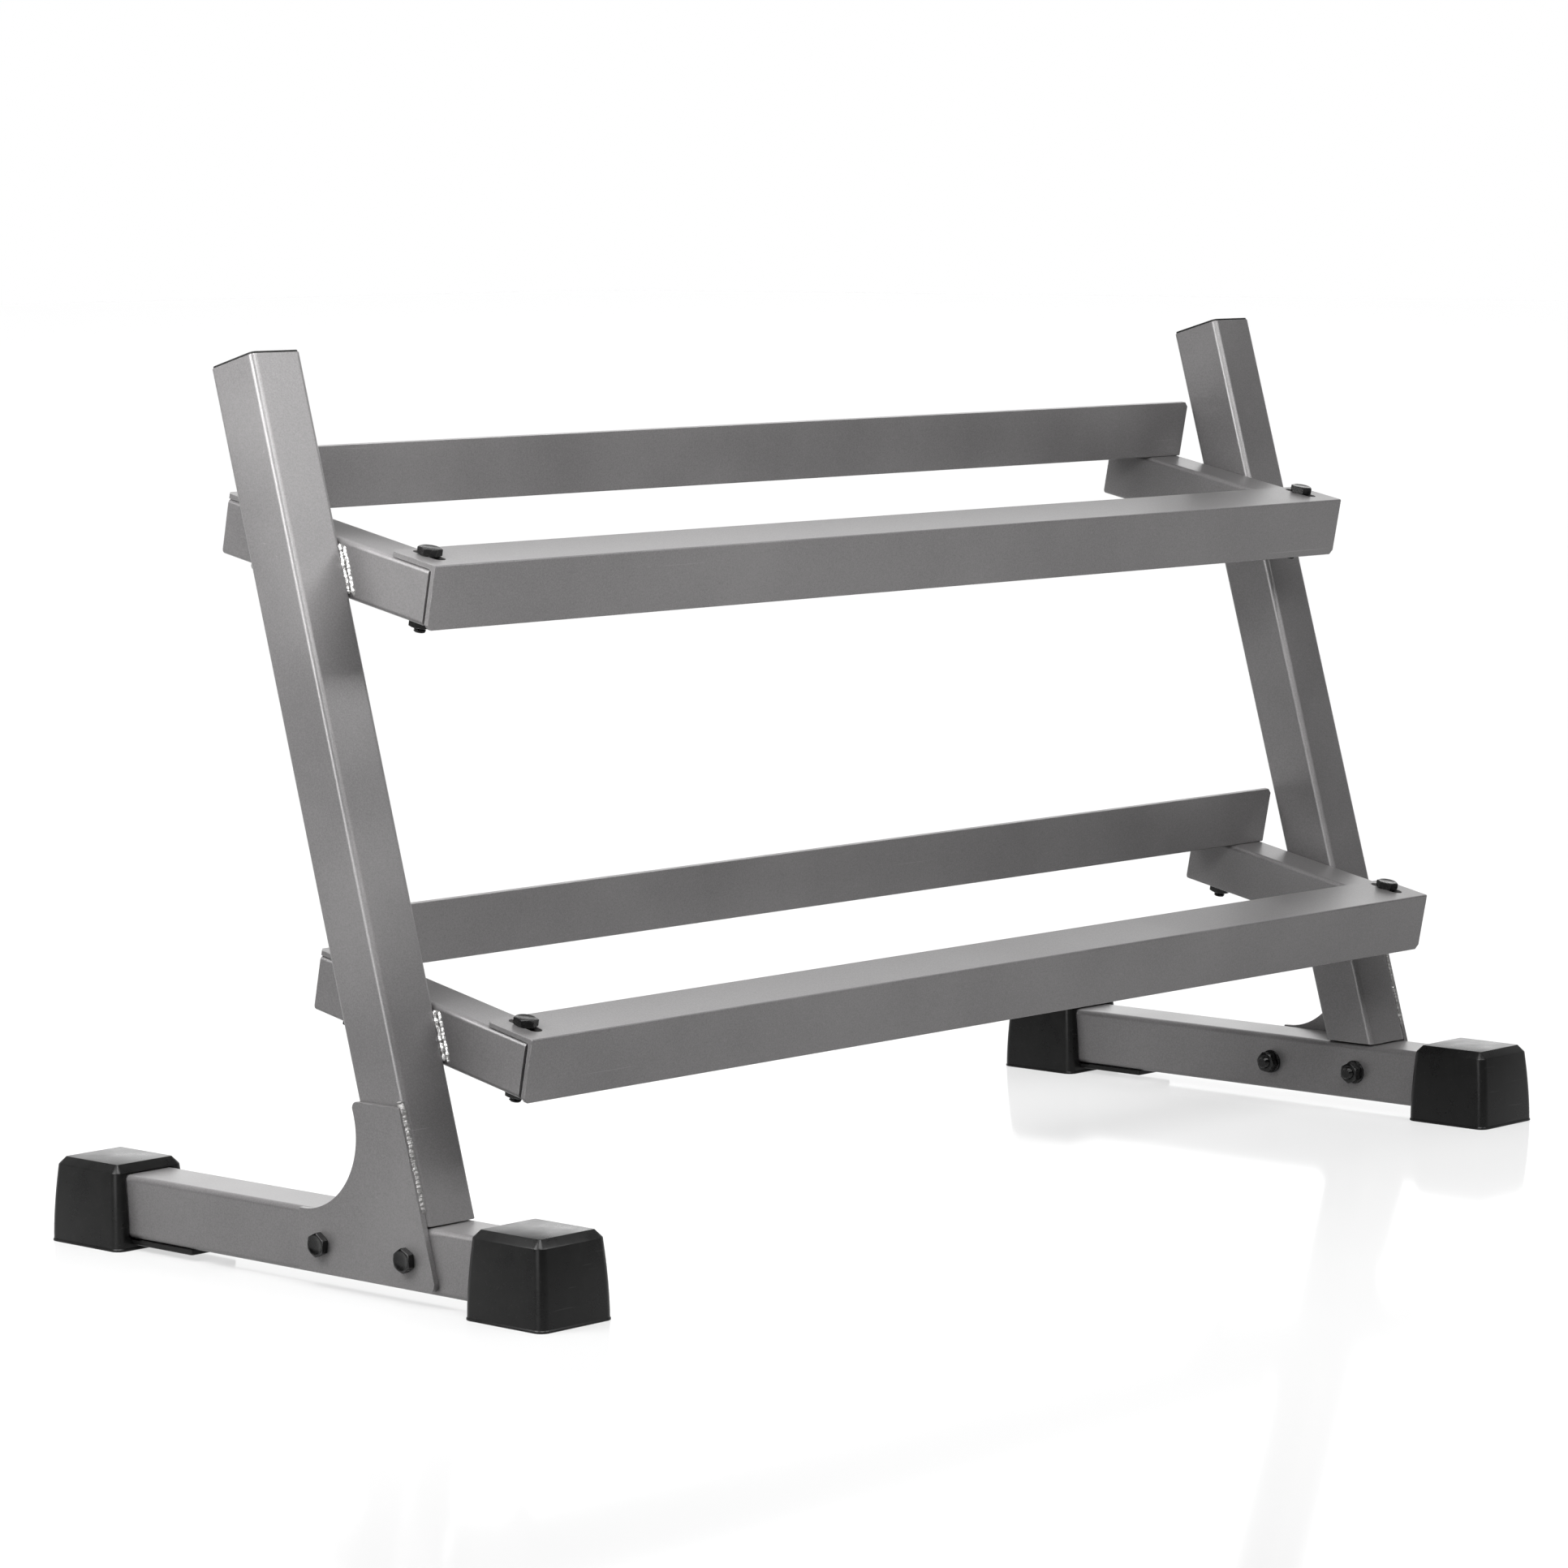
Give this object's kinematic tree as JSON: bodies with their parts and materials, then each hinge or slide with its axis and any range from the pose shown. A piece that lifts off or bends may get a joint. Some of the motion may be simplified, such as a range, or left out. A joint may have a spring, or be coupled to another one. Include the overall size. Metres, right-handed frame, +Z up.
{
  "type": "dumbbell rack",
  "caption": "Two-tier dumbbell rack: leaning square posts on floor runners carry two sloping shelves of paired angle rails.",
  "frame": {"origin": "on the floor, under the middle of the rack's footprint", "axes": "+X along the shelves to the right seen from the front, +Y to the back, +Z up"},
  "size_m": [1.2568, 0.564, 0.7179],
  "materials": {
    "grey_powder_coat": "fine-grained satin powder coat, metallic grey",
    "coated_weld": "weld bead under the same grey powder coat",
    "foot_rubber": "moulded black rubber, satin",
    "plug_plastic": "black moulded polyethylene, matt",
    "black_steel": "black oxide steel, semi-gloss"
  },
  "bodies": {
    "root": {"left_base_tube": "grey_powder_coat", "right_base_tube": "grey_powder_coat", "front_left_foot_cap": "foot_rubber", "front_right_foot_cap": "foot_rubber", "rear_left_foot_cap": "foot_rubber", "rear_right_foot_cap": "foot_rubber", "left_upright": "grey_powder_coat", "right_upright": "grey_powder_coat", "left_upright_plug": "plug_plastic", "right_upright_plug": "plug_plastic", "left_gusset": "grey_powder_coat", "right_gusset": "grey_powder_coat", "left_gusset_weld": "coated_weld", "right_gusset_weld": "coated_weld", "upper_left_bracket": "grey_powder_coat", "upper_right_bracket": "grey_powder_coat", "lower_left_bracket": "grey_powder_coat", "lower_right_bracket": "grey_powder_coat", "upper_left_bracket_weld": "coated_weld", "upper_right_bracket_weld": "coated_weld", "lower_left_bracket_weld": "coated_weld", "lower_right_bracket_weld": "coated_weld", "upper_left_bracket_plugs": "plug_plastic", "upper_right_bracket_plugs": "plug_plastic", "lower_left_bracket_plugs": "plug_plastic", "lower_right_bracket_plugs": "plug_plastic", "upper_front_rail": "grey_powder_coat", "upper_rear_rail": "grey_powder_coat", "lower_front_rail": "grey_powder_coat", "lower_rear_rail": "grey_powder_coat", "upper_front_bolts": "black_steel", "upper_rear_bolts": "black_steel", "lower_front_bolts": "black_steel", "lower_rear_bolts": "black_steel", "upper_front_nuts": "black_steel", "upper_rear_nuts": "black_steel", "lower_front_nuts": "black_steel", "lower_rear_nuts": "black_steel", "left_base_bolts": "black_steel", "right_base_bolts": "black_steel", "left_base_washers": "black_steel", "right_base_washers": "black_steel", "left_base_nuts": "black_steel", "right_base_nuts": "black_steel"}
  },
  "joints": []
}
